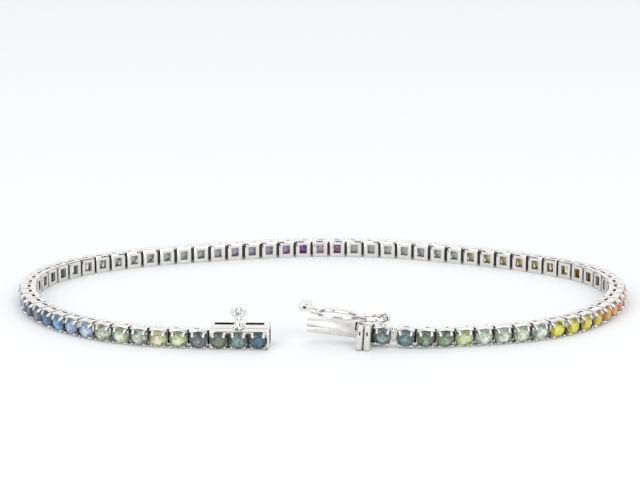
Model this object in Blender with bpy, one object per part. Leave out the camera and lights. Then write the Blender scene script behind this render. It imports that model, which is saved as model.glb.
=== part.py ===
import math

import bmesh
import bpy
from mathutils import Matrix, Vector

# Sizes are in millimetres and become metres in finish().
UNIT = 0.001

# Stones: round brilliants, drawn with eight sides
STONE_ACROSS = 2.0
STONE_SIDES = 8
TABLE_SHARE = 0.56
CROWN_HEIGHT = 0.32
PAVILION_DEPTH = 0.40
SEAT_GAP = 0.03

# One link: a square basket with four claws, its front towards -Y
SIDE_LIP = 0.02
LINK_HEIGHT = 2.12
LINK_GAP = 0.24
LINK_DEPTH = 2.10
BASKET_DEPTH = 1.75
END_TAPER = 0.09
GIRDLE_SINK = 0.04
CLAW_RISE = 0.08
CLAW_WIDTH = 0.59
CLAW_REACH = 0.40
CLAW_INSET = 0.03

# The hollow behind each stone and the slots in a link's two sides
PIT_MOUTH_LONG = 0.80
PIT_MOUTH_HIGH = 1.20
PIT_FLOOR_LONG = 1.24
PIT_FLOOR_HIGH = 1.32
PIT_DEPTH = 1.05
PIT_OVERCUT = 0.30
SLOT_LENGTH = 1.10
SLOT_WIDTH = 0.36
SLOT_FROM_RIM = 0.84

# The hinge lugs between links, and the tabs where two pieces meet
LUG_HEIGHT = 0.60
LUG_WIDTH = 0.30
LUG_FROM_BACK = 0.35
TAB_HEIGHT = 0.40
TAB_WIDTH = 0.28
TAB_HEAD_HEIGHT = 0.84
TAB_HEAD_LENGTH = 0.18
TAB_PLAY = 0.07
END_SHIFT = 0.31
SOCKET_PLAY_HIGH = 0.07
SOCKET_PLAY_WIDE = 0.14

# The string: links counted from the tongue round the back to the box
RIGHT_LINKS = 36
LEFT_LINKS = 37
BOX_STONES = 3

# Route of the pivots seen from above, as shares of the oval's half length and half width.
# The third column lifts a pivot by a share of what the press plate stands below the links.
OVAL_LENGTH = 72.22
OVAL_WIDTH = 43.86
PLATE_BELOW = 0.44
ROUTE = [
    (0.166, -0.957, 0.89), (0.229, -0.970, 0.57), (0.291, -0.972, 0.27), (0.355, -0.962, 0.05),
    (0.417, -0.945, 0.00), (0.540, -0.906, 0.00), (0.661, -0.846, 0.00), (0.772, -0.747, 0.00),
    (0.863, -0.605, 0.00), (0.931, -0.429, 0.00), (0.978, -0.237, 0.00), (1.000, -0.032, 0.00),
    (0.984, 0.173, 0.00), (0.928, 0.359, 0.00), (0.841, 0.510, 0.00), (0.682, 0.678, 0.00),
    (0.452, 0.850, 0.00), (0.212, 0.974, 0.00), (-0.040, 0.995, 0.00), (-0.289, 0.925, 0.00),
    (-0.532, 0.814, 0.00), (-0.707, 0.697, 0.00), (-0.863, 0.522, 0.00), (-0.971, 0.268, 0.00),
    (-1.000, -0.038, 0.00), (-0.959, -0.342, 0.00), (-0.865, -0.611, 0.00), (-0.723, -0.816, 0.00),
    (-0.549, -0.936, 0.00), (-0.361, -0.980, 0.00), (-0.172, -0.991, 0.00),
]

# Clasp box: a gallery of three seats with a hollow housing behind it
BOX_DEPTH = 4.30
BOX_WALL = 0.16
GROOVE_FROM_RIM = 1.24
HOUSING_FROM_RIM = 1.22
GROOVE_WIDTH = 0.14
GROOVE_DEPTH = 0.10
BOX_BLIND_END = 0.70
BOX_SLOT_LENGTH = 2.05
BOX_SLOT_WIDTH = 0.70
BOX_SLOT_FROM_ENDS = 0.55
END_PLATE_THICK = 0.20
END_PLATE_LIP = 0.03
NOTCH_WIDTH = 0.34
NOTCH_DEPTH = 0.62

# Safety post on the box: rings as shares of its base and height
POST_HEIGHT = 2.62
POST_BASE_LONG = 1.64
POST_BASE_WIDE = 0.90
POST_BEHIND_RIM = 1.10
POST_SIDES = 10
POST_RINGS = [("sunk", -0.04, 1.0), ("foot", 0.05, 1.0), ("flare", 0.14, 0.80),
              ("neck", 0.30, 0.64), ("waist", 0.46, 0.56), ("collar", 0.74, 0.62)]
LOBE_RADIUS = 0.46
LOBE_SPREAD = 0.40
BALL_RADIUS = 0.34
BALL_FORWARD = 0.30

# Tongue: a folded spring that slides in the box, soldered to the press plate
TONGUE_LENGTH = 6.06
TONGUE_PLAY_HIGH = 0.05
TONGUE_PLAY_FRONT = 0.10
TONGUE_PLAY_BACK = 1.20
LEAF_GAP = 0.12
FOLD_LENGTH = 0.45
TIP_DROP = 0.24
CATCH_NOTCH = 0.42
PLATE_LENGTH = 1.69
PLATE_GAP = 0.16
PLATE_ABOVE = 0.40
PLATE_FORWARD = 1.25
PLATE_BACK_LIP = 0.25
RIB_STEPS = 4
PLATE_BEVEL = 0.16
BRIDGE_HEIGHT = 0.90
BRIDGE_WIDTH = 0.70

# Eye of the safety latch, soldered on the end link
EYE_RADIUS = 0.58
EYE_WIRE = 0.15
EYE_RISE = 0.22
EYE_STEM = 0.40
EYE_BEHIND_RIM = 0.58
EYE_SIDES = 12

# Safety latch: two wire loops in line and a finger lip.
# Each table is in shares: of a loop's length and half width, and of the lip's length and height.
LATCH_WIRE = 0.19
NEAR_LOOP_LENGTH = 3.05
NEAR_LOOP_WIDTH = 2.10
FAR_LOOP_LENGTH = 4.90
FAR_LOOP_WIDTH = 2.60
LOOP_OVERLAP = 0.30
LATCH_DIP = 0.14
LATCH_RISE = 0.10
LIP_LENGTH = 2.20
LIP_HEIGHT = 1.20
LIP_WIDTH = 2.00
LIP_HOLE = 0.26
NEAR_LOOP = [(0, 0.72), (0.08, 0.90), (0.45, 0.98), (0.80, 0.52)]
FAR_LOOP = [(0.10, 0.42), (0.28, 0.86), (0.50, 1.0), (0.72, 0.98), (0.91, 0.66)]
LIP_OUTLINE = [(-0.02, -0.11), (0.38, -0.07), (0.72, 0.13), (0.96, 0.44), (1.0, 0.72), (0.94, 0.95),
               (0.66, 1.0), (0.46, 0.66), (0.30, 0.36), (0.14, 0.19), (-0.02, 0.11)]
LIP_HOLE_PLACE = (0.78, 0.72)
WIRE_SIDES = 6

# Pieces with round wires or ribs, and the steepest edge shaded smooth on them
ROUND_PIECES = ("clasp_box", "clasp_tongue", "safety_latch")
SMOOTH_UNDER = math.radians(62)

# Sizes that follow from the ones above
LINK_LENGTH = STONE_ACROSS + 2 * SIDE_LIP
PITCH = LINK_LENGTH + LINK_GAP
BACK = LINK_DEPTH / 2
RIM = BACK - BASKET_DEPTH
GIRDLE = RIM + GIRDLE_SINK
TABLE = GIRDLE - CROWN_HEIGHT
CLAW_TIP = TABLE - CLAW_RISE
TOP = LINK_HEIGHT / 2
HALF = LINK_LENGTH / 2
BOX_BACK = CLAW_TIP + BOX_DEPTH
LUG_Y = (BACK - LUG_FROM_BACK - LUG_WIDTH, BACK - LUG_FROM_BACK)
LUG_MID = (LUG_Y[0] + LUG_Y[1]) / 2


def new_object(name, bm):
    bmesh.ops.recalc_face_normals(bm, faces=bm.faces)
    mesh = bpy.data.meshes.new(name)
    bm.to_mesh(mesh)
    bm.free()
    obj = bpy.data.objects.new(name, mesh)
    bpy.context.scene.collection.objects.link(obj)
    return obj


def loft(rings):
    """A solid through rings of equal length."""
    bm = bmesh.new()
    rows = [[bm.verts.new(p) for p in ring] for ring in rings]
    count = len(rings[0])
    for a, b in zip(rows, rows[1:]):
        for i in range(count):
            j = (i + 1) % count
            bm.faces.new((a[i], a[j], b[j], b[i]))
    bm.faces.new(rows[0][::-1])
    bm.faces.new(rows[-1])
    return new_object("loft", bm)


def block(x, y, z):
    """A box between pairs of limits."""
    bm = bmesh.new()
    middle = Matrix.Translation([(a + b) / 2 for a, b in (x, y, z)])
    size = Matrix.Diagonal([b - a for a, b in (x, y, z)] + [1])
    bmesh.ops.create_cube(bm, size=1, matrix=middle @ size)
    return new_object("block", bm)


def frame_at(y, half_long, half_high):
    """A rectangle's corners in the plane at depth y."""
    return [(-half_long, y, -half_high), (half_long, y, -half_high),
            (half_long, y, half_high), (-half_long, y, half_high)]


def prism(outline, y):
    """A solid from an outline in X and Z, extruded between two depths."""
    bm = bmesh.new()
    face = bm.faces.new([bm.verts.new((px, y[0], pz)) for px, pz in outline])
    grown = bmesh.ops.extrude_face_region(bm, geom=[face], use_keep_orig=True)
    far = [v for v in grown["geom"] if isinstance(v, bmesh.types.BMVert)]
    bmesh.ops.translate(bm, verts=far, vec=(0, y[1] - y[0], 0))
    return new_object("prism", bm)


def combine(a, b, operation):
    mod = a.modifiers.new("combine", "BOOLEAN")
    mod.solver = "EXACT"
    mod.operation = operation
    mod.object = b
    graph = bpy.context.evaluated_depsgraph_get()
    mesh = bpy.data.meshes.new_from_object(a.evaluated_get(graph))
    a.modifiers.clear()
    a.data = mesh
    bpy.data.objects.remove(b)
    return a


def add(a, *others):
    for other in others:
        combine(a, other, "UNION")
    return a


def cut(a, *others):
    for other in others:
        combine(a, other, "DIFFERENCE")
    return a


def moved(obj, matrix):
    obj.data.transform(matrix)
    return obj


def stone(x=0.0, grow=0.0):
    """A cut stone: table, eight crown facets and eight pavilion facets."""
    bm = bmesh.new()
    radius = STONE_ACROSS / 2 + grow

    def ring(y, r):
        turns = [math.tau * (k + 0.5) / STONE_SIDES for k in range(STONE_SIDES)]
        return [bm.verts.new((x + r * math.cos(t), y, r * math.sin(t))) for t in turns]

    table = ring(TABLE - grow, radius * TABLE_SHARE)
    girdle = ring(GIRDLE, radius)
    culet = bm.verts.new((x, GIRDLE + PAVILION_DEPTH + grow, 0))
    bm.faces.new(table)
    for i in range(STONE_SIDES):
        j = (i + 1) % STONE_SIDES
        bm.faces.new((table[i], girdle[i], girdle[j], table[j]))
        bm.faces.new((girdle[i], culet, girdle[j]))
    return new_object("stone", bm)


def claws(x=0.0):
    """Four pointed claws that stand on the rim and lean over the stone."""
    out = []
    edge_x, edge_z = HALF - CLAW_INSET, TOP - CLAW_INSET
    for sx in (-1, 1):
        for sz in (-1, 1):
            foot = [(edge_x, edge_z), (edge_x - CLAW_WIDTH, edge_z), (edge_x, edge_z - CLAW_WIDTH)]
            tip = (edge_x - CLAW_REACH, edge_z - CLAW_REACH)
            bm = bmesh.new()
            verts = [bm.verts.new((x + sx * a, GIRDLE + GIRDLE_SINK, sz * b)) for a, b in foot]
            point = bm.verts.new((x + sx * tip[0], CLAW_TIP, sz * tip[1]))
            bm.faces.new(verts)
            for i in range(3):
                bm.faces.new((verts[i], verts[(i + 1) % 3], point))
            out.append(new_object("claw", bm))
    return out


def basket():
    """The hollow square setting without its stone."""
    body = loft([frame_at(RIM, HALF, TOP), frame_at(BACK, HALF - END_TAPER, TOP)])
    pit_floor = BACK - PIT_DEPTH
    pit = loft([frame_at(pit_floor, PIT_FLOOR_LONG / 2, PIT_FLOOR_HIGH / 2),
                frame_at(BACK + PIT_OVERCUT, PIT_MOUTH_LONG / 2, PIT_MOUTH_HIGH / 2)])
    slot_y = RIM + SLOT_FROM_RIM
    slot = block((-SLOT_LENGTH / 2, SLOT_LENGTH / 2), (slot_y, slot_y + SLOT_WIDTH),
                 (-LINK_HEIGHT, LINK_HEIGHT))
    return cut(body, pit, slot)


def stub(side):
    """The root of a hinge lug, standing past a link's end."""
    inner = side * (HALF - END_TAPER - LINK_GAP / 2)
    outer = side * (HALF + LINK_GAP / 4)
    return block(sorted((inner, outer)), LUG_Y, (-LUG_HEIGHT / 2, LUG_HEIGHT / 2))


def wall_inner():
    """Half the hollow's length at the tab's depth."""
    share = (BACK - LUG_MID + PIT_OVERCUT) / (PIT_DEPTH + PIT_OVERCUT)
    return PIT_MOUTH_LONG / 2 + (PIT_FLOOR_LONG - PIT_MOUTH_LONG) / 2 * share


def tab(x=0.0, farther=0.0):
    """A tab whose wider head sits in the hollow of the piece before."""
    y = (LUG_MID - TAB_WIDTH / 2, LUG_MID + TAB_WIDTH / 2)
    head = x - farther - PITCH + wall_inner() - TAB_PLAY
    neck = block((head - TAB_HEAD_LENGTH / 2, x - HALF + END_TAPER + LINK_GAP / 2), y,
                 (-TAB_HEIGHT / 2, TAB_HEIGHT / 2))
    cross = block((head - TAB_HEAD_LENGTH, head), y, (-TAB_HEAD_HEIGHT / 2, TAB_HEAD_HEIGHT / 2))
    return add(neck, cross)


def socket():
    """The opening in a link's end that a tab passes through."""
    half_wide = TAB_WIDTH / 2 + SOCKET_PLAY_WIDE
    half_high = TAB_HEIGHT / 2 + SOCKET_PLAY_HIGH
    return block((wall_inner() - TAB_PLAY, HALF + LINK_GAP), (LUG_MID - half_wide, LUG_MID + half_wide),
                 (-half_high, half_high))


def link_mesh(start, end, farther):
    """One fused link as plain points and faces, with its open lug ends named."""
    body = basket()
    add(body, stone())
    for claw in claws():
        add(body, claw)
    if start == "lug":
        add(body, stub(-1))
    else:
        add(body, tab(0, farther))
    if end == "lug":
        add(body, stub(1))
    else:
        cut(body, socket())
    bm = bmesh.new()
    bm.from_mesh(body.data)
    bpy.data.objects.remove(body)
    bmesh.ops.remove_doubles(bm, verts=bm.verts, dist=1e-5)
    bmesh.ops.dissolve_limit(bm, angle_limit=0.002, verts=bm.verts, edges=bm.edges)
    reach = HALF + LINK_GAP / 4 - 1e-4
    ends = {-1: start == "lug", 1: end == "lug"}
    caps = [v for v in bm.verts if any(ends[s] and v.co.x * s > reach for s in ends)]
    bmesh.ops.delete(bm, geom=caps, context="VERTS")
    loops = {}
    for side in (-1, 1):
        rim = [v for v in bm.verts if v.is_boundary and v.co.x * side > 0]
        middle = sum((v.co for v in rim), Vector()) / max(len(rim), 1)
        rim.sort(key=lambda v: math.atan2(v.co.z - middle.z, v.co.y - middle.y))
        loops[side] = rim
    bm.verts.index_update()
    points = [v.co.copy() for v in bm.verts]
    faces = [[v.index for v in f.verts] for f in bm.faces]
    rims = {side: [v.index for v in loops[side]] for side in loops}
    bm.free()
    return points, faces, rims


def route_curve():
    """A smooth dense line through the route's points."""
    pts = [Vector((x * OVAL_LENGTH / 2, y * OVAL_WIDTH / 2, lift * PLATE_BELOW)) for x, y, lift in ROUTE]
    pts = [2 * pts[0] - pts[1]] + pts + [2 * pts[-1] - pts[-2]]
    out = []
    for a, b, c, d in zip(pts, pts[1:], pts[2:], pts[3:]):
        t0, t1 = 0.0, (b - a).length ** 0.5
        t2 = t1 + (c - b).length ** 0.5
        t3 = t2 + (d - c).length ** 0.5
        for k in range(40):
            t = t1 + (t2 - t1) * k / 40
            e = a * ((t1 - t) / (t1 - t0)) + b * ((t - t0) / (t1 - t0))
            f = b * ((t2 - t) / (t2 - t1)) + c * ((t - t1) / (t2 - t1))
            g = c * ((t3 - t) / (t3 - t2)) + d * ((t - t2) / (t3 - t2))
            h = e * ((t2 - t) / (t2 - t0)) + f * ((t - t0) / (t2 - t0))
            i = f * ((t3 - t) / (t3 - t1)) + g * ((t - t1) / (t3 - t1))
            out.append(h * ((t2 - t) / (t2 - t1)) + i * ((t - t1) / (t2 - t1)))
    ending = pts[-2]
    out.append(ending)
    out.append(ending + (ending - out[-2]).normalized() * PITCH * len(ROUTE))
    return out


def pivots(count):
    """Hinge points one pitch apart along the route."""
    line = route_curve()
    out = [line[0]]
    k = 0
    while len(out) <= count:
        here = out[-1]
        while (line[k + 1] - here).length < PITCH:
            k += 1
        a, d = line[k], line[k + 1] - line[k]
        low, high = 0.0, 1.0
        for _ in range(50):
            mid = (low + high) / 2
            if (a + d * mid - here).length < PITCH:
                low = mid
            else:
                high = mid
        out.append(a + d * high)
    return out


def seat_frame(a, b):
    """The place of a link between two pivots: X along the string, Z up."""
    x = (b - a).normalized()
    y = Vector((0, 0, 1)).cross(x).normalized()
    z = x.cross(y)
    place = Matrix((x, y, z)).transposed().to_4x4()
    place.translation = (a + b) / 2 + z * TOP
    return place


def string_of_links(name, places, farther=0.0):
    """Links joined by their hinge lugs into one body."""
    bm = bmesh.new()
    last = None
    kinds = {}
    for n, place in enumerate(places):
        kind = ("tab" if n == 0 else "lug", "socket" if n == len(places) - 1 else "lug")
        if kind not in kinds:
            kinds[kind] = link_mesh(*kind, farther)
        points, faces, rims = kinds[kind]
        verts = [bm.verts.new(place @ p) for p in points]
        for face in faces:
            bm.faces.new([verts[i] for i in face])
        if last:
            start = [verts[i] for i in rims[-1]]
            for i in range(len(start)):
                j = (i + 1) % len(start)
                bm.faces.new((last[i], last[j], start[j]))
                bm.faces.new((last[i], start[j], start[i]))
        last = [verts[i] for i in rims[1]]
    return new_object(name, bm)


def ball(x, y, z, radius, sides=POST_SIDES):
    bm = bmesh.new()
    bmesh.ops.create_uvsphere(bm, u_segments=sides, v_segments=6, radius=radius)
    bmesh.ops.translate(bm, verts=bm.verts, vec=(x, y, z))
    return new_object("ball", bm)


def safety_post(x):
    """The post that the latch snaps over: a turned foot and waist, and a lobed head."""
    bm = bmesh.new()
    base = POST_BASE_LONG / 2
    profile = [(base * share, POST_HEIGHT * rise) for _, rise, share in POST_RINGS]
    verts = [bm.verts.new((r, 0, z)) for r, z in [(0, profile[0][1])] + profile + [(0, profile[-1][1])]]
    edges = [bm.edges.new(pair) for pair in zip(verts, verts[1:])]
    bmesh.ops.spin(bm, geom=verts + edges, cent=(0, 0, 0), axis=(0, 0, 1), angle=math.tau,
                   steps=POST_SIDES, use_merge=True)
    bmesh.ops.remove_doubles(bm, verts=bm.verts, dist=1e-4)
    y = RIM + POST_BEHIND_RIM
    squash = Matrix.Diagonal((1, POST_BASE_WIDE / POST_BASE_LONG, 1, 1))
    bm.transform(Matrix.Translation((x, y, TOP)) @ squash)
    post = new_object("post", bm)
    head = TOP + POST_HEIGHT - LOBE_RADIUS
    add(post, ball(x, y - BALL_FORWARD, head - LOBE_RADIUS / 4, BALL_RADIUS))
    return add(post, ball(x - LOBE_SPREAD, y, head, LOBE_RADIUS), ball(x + LOBE_SPREAD, y, head, LOBE_RADIUS))


def mouth_limits():
    """The inside of the housing, across and up, that the tongue slides in."""
    return (RIM + HOUSING_FROM_RIM, BOX_BACK - BOX_WALL), (-TOP + BOX_WALL, TOP - BOX_WALL)


def clasp_box():
    """Gallery with three seats, hollow housing, end plate, tab and safety post."""
    start, end = LINK_GAP / 2, BOX_STONES * PITCH - LINK_GAP / 2
    body = block((start, end + END_PLATE_THICK / 2), (RIM, BOX_BACK), (-TOP, TOP))
    groove = RIM + GROOVE_FROM_RIM
    for sign in (-1, 1):
        z = sorted((sign * (TOP - GROOVE_DEPTH), sign * (TOP + GROOVE_DEPTH)))
        cut(body, block((start - LINK_GAP, end + LINK_GAP / 4), (groove, groove + GROOVE_WIDTH), z))
    for n in range(1, BOX_STONES):
        x = n * PITCH
        cut(body, block((x - NOTCH_WIDTH / 2, x + NOTCH_WIDTH / 2), (RIM - NOTCH_DEPTH, RIM + NOTCH_DEPTH),
                        (-LINK_HEIGHT, LINK_HEIGHT)))
    for n in range(BOX_STONES):
        add(body, *claws((n + 0.5) * PITCH))
    for n in range(BOX_STONES):
        cut(body, stone((n + 0.5) * PITCH, SEAT_GAP))
    plate = block((end, end + END_PLATE_THICK), (TABLE, BOX_BACK + END_PLATE_LIP),
                  (-TOP, TOP + END_PLATE_LIP))
    add(body, plate)
    across, up = mouth_limits()
    inside = (start + BOX_BLIND_END, end + 2 * END_PLATE_THICK)
    cut(body, block(inside, across, up))
    slot_y = (across[1] - BOX_SLOT_WIDTH - SEAT_GAP, across[1] - SEAT_GAP)
    first = start + BOX_BLIND_END + SEAT_GAP
    second = end - BOX_SLOT_FROM_ENDS
    cut(body, block((first, first + BOX_SLOT_LENGTH), slot_y, (0, LINK_HEIGHT)))
    cut(body, block((second - BOX_SLOT_LENGTH, second), slot_y, (0, LINK_HEIGHT)))
    add(body, tab(PITCH / 2))
    return add(body, safety_post(BOX_STONES * PITCH / 2))


def press_plate(x0, across):
    """Two upright ribs side by side, rounded at the front and bevelled at both ends."""
    rib = PLATE_LENGTH / 2
    front = TABLE - PLATE_FORWARD
    back = tongue_depths(across)[1] + PLATE_BACK_LIP
    arc = []
    for n in range(2):
        middle = x0 + rib * (n + 0.5)
        steps = range(RIB_STEPS + 1) if n == 0 else range(1, RIB_STEPS + 1)
        for k in steps:
            turn = math.pi * k / RIB_STEPS
            arc.append((middle - rib / 2 * math.cos(turn), front + rib / 2 * (1 - math.sin(turn))))
    outline = arc + [(x0 + PLATE_LENGTH, back), (x0, back)]
    centre = Vector((x0 + rib, (front + back) / 2))

    def level(z, inset):
        size = (PLATE_LENGTH / 2, (back - front) / 2)
        out = []
        for px, py in outline:
            sx = 1 - inset / size[0]
            sy = 1 - inset / size[1]
            out.append((centre.x + (px - centre.x) * sx, centre.y + (py - centre.y) * sy, z))
        return out

    bottom, top = -TOP - PLATE_BELOW, TOP + PLATE_ABOVE
    return loft([level(bottom, PLATE_BEVEL), level(bottom + PLATE_BEVEL, 0),
                 level(top - PLATE_BEVEL, 0), level(top, PLATE_BEVEL)])


def tongue_depths(across):
    """Front and back of the tongue, clear of the housing's walls."""
    return across[0] + TONGUE_PLAY_FRONT, across[1] - TONGUE_PLAY_BACK


def tongue_spring(root, across, up):
    """Lower leaf, fold at the tip, and an upper leaf that rises to its catch edge."""
    tip = root - TONGUE_LENGTH
    low = up[0] + TONGUE_PLAY_HIGH
    high = up[1] - TONGUE_PLAY_HIGH
    slit = (low + high) / 2
    half = LEAF_GAP / 2
    free = root - CATCH_NOTCH
    outline = [(tip, low + TIP_DROP / 2), (root + PLATE_BEVEL, low), (root + PLATE_BEVEL, slit - half),
               (free, slit - half), (tip + FOLD_LENGTH, slit - half / 2), (tip + FOLD_LENGTH, slit + half / 2),
               (free, slit + half), (free, high), (tip, high - TIP_DROP)]
    return prism(outline, tongue_depths(across))


def eye(centre):
    """A round eye whose axis runs along Y."""
    bpy.ops.mesh.primitive_torus_add(major_radius=EYE_RADIUS, minor_radius=EYE_WIRE,
                                     major_segments=EYE_SIDES, minor_segments=WIRE_SIDES)
    ring = bpy.context.object
    return moved(ring, Matrix.Translation(centre) @ Matrix.Rotation(math.pi / 2, 4, "X"))


def eye_centre():
    return Vector((0, RIM + EYE_BEHIND_RIM, TOP + EYE_RADIUS + EYE_WIRE + EYE_RISE))


def clasp_tongue():
    """Spring tongue, press plate, end link's setting and latch eye, soldered together."""
    across, up = mouth_limits()
    body = basket()
    add(body, *claws())
    cut(body, stone(0, SEAT_GAP), socket())
    right = -HALF - PLATE_GAP
    add(body, press_plate(right - PLATE_LENGTH, across))
    bridge_y = (LUG_MID - BRIDGE_WIDTH / 2, LUG_MID + BRIDGE_WIDTH / 2)
    add(body, block((right - PLATE_BEVEL, -HALF + END_TAPER * 2), bridge_y,
                    (-BRIDGE_HEIGHT / 2, BRIDGE_HEIGHT / 2)))
    add(body, tongue_spring(right - PLATE_LENGTH, across, up))
    centre = eye_centre()
    stem = block((-EYE_STEM / 2, EYE_STEM / 2), (centre.y - EYE_STEM / 2, centre.y + EYE_STEM / 2),
                 (TOP - EYE_WIRE, centre.z - EYE_RADIUS))
    return add(body, stem, eye(centre))


def wire_loop(path):
    """A closed round wire along a ring of points."""
    curve = bpy.data.curves.new("wire", "CURVE")
    curve.dimensions = "3D"
    curve.bevel_depth = LATCH_WIRE
    curve.bevel_resolution = WIRE_SIDES // 2 - 2
    curve.twist_mode = "Z_UP"
    line = curve.splines.new("POLY")
    line.points.add(len(path) - 1)
    line.use_cyclic_u = True
    for point, place in zip(line.points, path):
        point.co = (*place, 1)
    wire = bpy.data.objects.new("wire", curve)
    bpy.context.scene.collection.objects.link(wire)
    graph = bpy.context.evaluated_depsgraph_get()
    bm = bmesh.new()
    bm.from_mesh(bpy.data.meshes.new_from_object(wire.evaluated_get(graph)))
    bpy.data.objects.remove(wire)
    bmesh.ops.remove_doubles(bm, verts=bm.verts, dist=1e-4)
    return new_object("wire", bm)


def loop_points(start, end, width, table, height):
    """A closed loop in plan, mirrored across its middle."""
    half = [(start + (end - start) * along, width / 2 * out) for along, out in table]
    heel = [] if table[0][0] == 0 else [(start, 0)]
    ring = heel + half + [(end, 0)] + [(x, -y) for x, y in reversed(half)]
    return [Vector((x, y, height(x))) for x, y in ring]


def safety_latch():
    """The figure-eight lever: hinge bar, near loop, far loop and finger lip."""
    waist = -NEAR_LOOP_LENGTH
    start = waist + LOOP_OVERLAP
    far = start - FAR_LOOP_LENGTH

    def height(x):
        if x > waist:
            return -LATCH_DIP * x / waist
        return -LATCH_DIP + LATCH_RISE * (x - waist) / (far - waist)

    body = wire_loop(loop_points(0, waist, NEAR_LOOP_WIDTH, NEAR_LOOP, height))
    add(body, wire_loop(loop_points(start, far, FAR_LOOP_WIDTH, FAR_LOOP, height)))
    root = far + LATCH_WIRE / 2
    base = height(far)
    lip = prism([(root - LIP_LENGTH * a, base + LIP_HEIGHT * b) for a, b in LIP_OUTLINE],
                (-LIP_WIDTH / 2, LIP_WIDTH / 2))
    hole_x = root - LIP_LENGTH * LIP_HOLE_PLACE[0]
    hole_z = base + LIP_HEIGHT * LIP_HOLE_PLACE[1]
    turns = [math.tau * k / WIRE_SIDES for k in range(WIRE_SIDES)]
    hole = [(hole_x + LIP_HOLE / 2 * math.cos(t), hole_z + LIP_HOLE / 2 * math.sin(t)) for t in turns]
    cut(lip, prism(hole, (-LIP_WIDTH, LIP_WIDTH)))
    return add(body, lip)


def material(name, colour, metallic, roughness, transmission=0.0):
    mat = bpy.data.materials.new(name)
    mat.use_nodes = True
    shader = mat.node_tree.nodes["Principled BSDF"]
    shader.inputs["Base Color"].default_value = (*colour, 1)
    shader.inputs["Metallic"].default_value = metallic
    shader.inputs["Roughness"].default_value = roughness
    shader.inputs["Transmission Weight"].default_value = transmission
    return mat


def finish(pieces):
    """Names, materials and one shared frame: middle of the base at the origin."""
    collection = bpy.data.collections.new("tennis_bracelet")
    bpy.context.scene.collection.children.link(collection)
    corners = [place @ v.co for obj, place, _ in pieces.values() for v in obj.data.vertices]
    low = [min(c[i] for c in corners) for i in range(3)]
    high = [max(c[i] for c in corners) for i in range(3)]
    shift = Matrix.Translation((-(low[0] + high[0]) / 2, -(low[1] + high[1]) / 2, -low[2]))
    for name, (obj, place, mat) in pieces.items():
        obj.name = obj.data.name = name
        bm = bmesh.new()
        bm.from_mesh(obj.data)
        bmesh.ops.remove_doubles(bm, verts=bm.verts, dist=1e-5)
        bmesh.ops.dissolve_limit(bm, angle_limit=0.001, verts=bm.verts, edges=bm.edges)
        bm.transform(Matrix.Scale(UNIT, 4))
        bm.to_mesh(obj.data)
        bm.free()
        where = shift @ place
        where.translation *= UNIT
        obj.matrix_world = where
        obj.data.materials.clear()
        obj.data.materials.append(mat)
        if name in ROUND_PIECES:
            obj.data.shade_smooth()
            obj.data.set_sharp_from_angle(angle=SMOOTH_UNDER)
        for owner in list(obj.users_collection):
            owner.objects.unlink(obj)
        collection.objects.link(obj)


def build():
    for obj in list(bpy.data.objects):
        bpy.data.objects.remove(obj)
    hinges = pivots(1 + RIGHT_LINKS + LEFT_LINKS + BOX_STONES)
    places = [seat_frame(a, b) for a, b in zip(hinges, hinges[1:])]
    meet = 1 + RIGHT_LINKS
    gold = material("white_gold", (0.84, 0.85, 0.86), 1.0, 0.18)
    sapphire = material("sapphire", (0.05, 0.22, 0.24), 0.0, 0.05, 0.4)
    box_middle = seat_frame(hinges[meet + LEFT_LINKS], hinges[-1])
    box_place = box_middle @ Matrix.Translation((-BOX_STONES * PITCH / 2, 0, 0))
    tongue_place = places[0] @ Matrix.Translation((-END_SHIFT, 0, 0))
    here = Matrix()
    pieces = {
        "right_line": (string_of_links("right_line", places[1:meet], END_SHIFT), here, gold),
        "left_line": (string_of_links("left_line", places[meet:meet + LEFT_LINKS]), here, gold),
        "clasp_box": (clasp_box(), box_place, gold),
        "clasp_tongue": (clasp_tongue(), tongue_place, gold),
        "safety_latch": (safety_latch(), tongue_place @ Matrix.Translation(eye_centre()), gold),
        "end_stone": (stone(), tongue_place, sapphire),
    }
    for n in range(BOX_STONES):
        seat = box_place @ Matrix.Translation(((n + 0.5) * PITCH, 0, 0))
        pieces["box_stone_%d" % (n + 1)] = (stone(), seat, sapphire)
    finish(pieces)


build()
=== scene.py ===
import math
import random

import bpy
from mathutils import Matrix, Vector


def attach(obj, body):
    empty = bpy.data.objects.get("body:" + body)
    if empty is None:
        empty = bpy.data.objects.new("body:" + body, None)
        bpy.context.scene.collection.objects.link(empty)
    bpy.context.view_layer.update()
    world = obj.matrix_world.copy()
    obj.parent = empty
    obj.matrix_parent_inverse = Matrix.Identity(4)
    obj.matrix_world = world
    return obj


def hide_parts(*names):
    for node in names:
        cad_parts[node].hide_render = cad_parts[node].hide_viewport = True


bl_info = {
    "name": "Tennis bracelet",
    "version": (1, 0, 0),
    "blender": (4, 5, 0),
    "location": "View3D > Sidebar > Bracelet",
    "description": "An open tennis bracelet of claw-set stones with a box clasp and safety latch",
    "category": "Object",
}

MM = 0.001
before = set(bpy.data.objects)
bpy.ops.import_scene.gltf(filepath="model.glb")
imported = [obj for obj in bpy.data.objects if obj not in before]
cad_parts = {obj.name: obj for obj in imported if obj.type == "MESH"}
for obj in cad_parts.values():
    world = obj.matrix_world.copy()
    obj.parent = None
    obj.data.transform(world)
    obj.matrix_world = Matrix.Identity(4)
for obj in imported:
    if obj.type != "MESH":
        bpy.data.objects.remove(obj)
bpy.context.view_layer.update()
# Depth of a CAD stone behind its girdle, whose point places the bracelet in the frame
CAD_PAVILION = 0.40 * MM

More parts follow.
